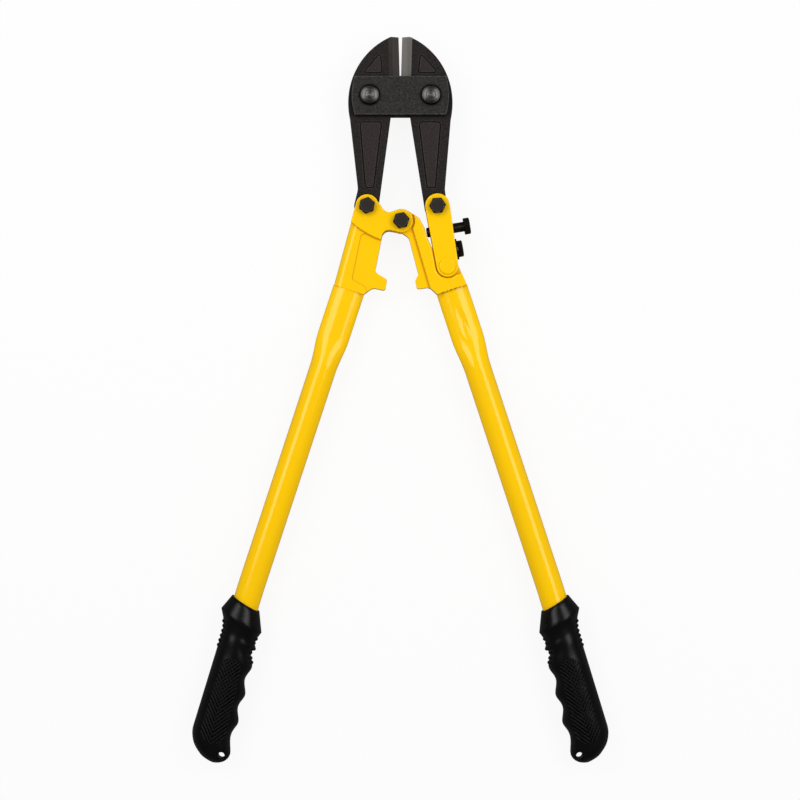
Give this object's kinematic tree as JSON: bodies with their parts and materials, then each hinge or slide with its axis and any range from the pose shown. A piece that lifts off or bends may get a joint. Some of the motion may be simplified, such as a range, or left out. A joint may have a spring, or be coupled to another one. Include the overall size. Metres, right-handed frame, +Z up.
{
  "type": "bolt cutters",
  "caption": "Two-handed bolt cutters: centre-cut jaws between strap plates, a compound lever head with an adjuster link, tubular handles and moulded grips with finger bumps.",
  "frame": {"origin": "under the middle of the bounding box, on the surface the tool lies on", "axes": "+Y along the tool from the grips to the jaws, +X to the handle with the adjuster, +Z up out of the front face with the bolt heads"},
  "size_m": [0.3412, 0.5944, 0.033],
  "materials": {
    "jaw_steel": "black phosphated forged steel, rough",
    "pin_steel": "dark turned steel, satin",
    "bolt_steel": "black oxide, satin",
    "yellow_paint": "glossy powder coat",
    "grip_rubber": "satin moulded"
  },
  "bodies": {
    "jaw_plates": {"front_jaw_plate": "jaw_steel", "rear_jaw_plate": "jaw_steel", "left_jaw_pin": "pin_steel", "right_jaw_pin": "pin_steel", "left_jaw_pin_nut": "pin_steel", "right_jaw_pin_nut": "pin_steel"},
    "left_jaw": {"left_jaw": "jaw_steel"},
    "right_jaw": {"right_jaw": "jaw_steel"},
    "left_handle": {"left_handle_head": "yellow_paint", "left_handle_tube": "yellow_paint", "left_grip": "grip_rubber", "left_tail_bolt": "bolt_steel", "left_tail_nut": "bolt_steel", "centre_pivot_bolt": "bolt_steel", "centre_pivot_nut": "bolt_steel"},
    "right_handle": {"right_handle_head": "yellow_paint", "right_handle_tube": "yellow_paint", "right_grip": "grip_rubber", "link_rivet": "yellow_paint"},
    "adjuster_link": {"front_link_plate": "yellow_paint", "rear_link_plate": "yellow_paint", "adjuster_block": "yellow_paint", "right_tail_bolt": "bolt_steel", "right_tail_nut": "bolt_steel"},
    "adjusting_screw": {"adjusting_screw": "bolt_steel"},
    "lock_screw": {"lock_screw": "bolt_steel", "lock_screw_washer": "bolt_steel"}
  },
  "joints": [
    {"name": "left_jaw_pivot", "type": "hinge", "parent": "jaw_plates", "child": "left_jaw", "pos_m": [-0.025, 0.24874, 0.0165], "axis": [0, 0, 1], "range_deg": [-2, 3.2]},
    {"name": "right_jaw_pivot", "type": "hinge", "parent": "jaw_plates", "child": "right_jaw", "pos_m": [0.025, 0.24874, 0.0165], "axis": [0, 0, 1], "range_deg": [-3.2, 2]},
    {"name": "left_tail_pivot", "type": "hinge", "parent": "left_jaw", "child": "left_handle", "pos_m": [-0.0272, 0.15844, 0.0165], "axis": [0, 0, 1], "range_deg": [-25.5, 14.8]},
    {"name": "handle_hinge", "type": "hinge", "parent": "left_handle", "child": "right_handle", "pos_m": [0.0007, 0.14634, 0.0165], "axis": [0, 0, 1], "range_deg": [-25, 44]},
    {"name": "link_adjust", "type": "hinge", "parent": "right_handle", "child": "adjuster_link", "pos_m": [0.0385, 0.10934, 0.0165], "axis": [0, 0, 1], "range_deg": [-0.6, 0.6]},
    {"name": "adjusting_screw_travel", "type": "slide", "parent": "adjuster_link", "child": "adjusting_screw", "axis": [0.9863, 0.1647, 0], "range_m": [-0.000322, 0.000322]},
    {"name": "lock_screw_travel", "type": "slide", "parent": "right_handle", "child": "lock_screw", "axis": [0.9863, 0.1647, 0], "range_m": [-0.000137, 0.000137]}
  ],
  "couplings": [
    {"joint": "left_jaw_pivot", "follows": "handle_hinge", "ratio": 0.065},
    {"joint": "right_jaw_pivot", "follows": "handle_hinge", "ratio": -0.065},
    {"joint": "left_tail_pivot", "follows": "handle_hinge", "ratio": -0.565},
    {"joint": "adjusting_screw_travel", "follows": "link_adjust", "m_per_rad": 0.03018},
    {"joint": "lock_screw_travel", "follows": "link_adjust", "m_per_rad": -0.01278}
  ]
}
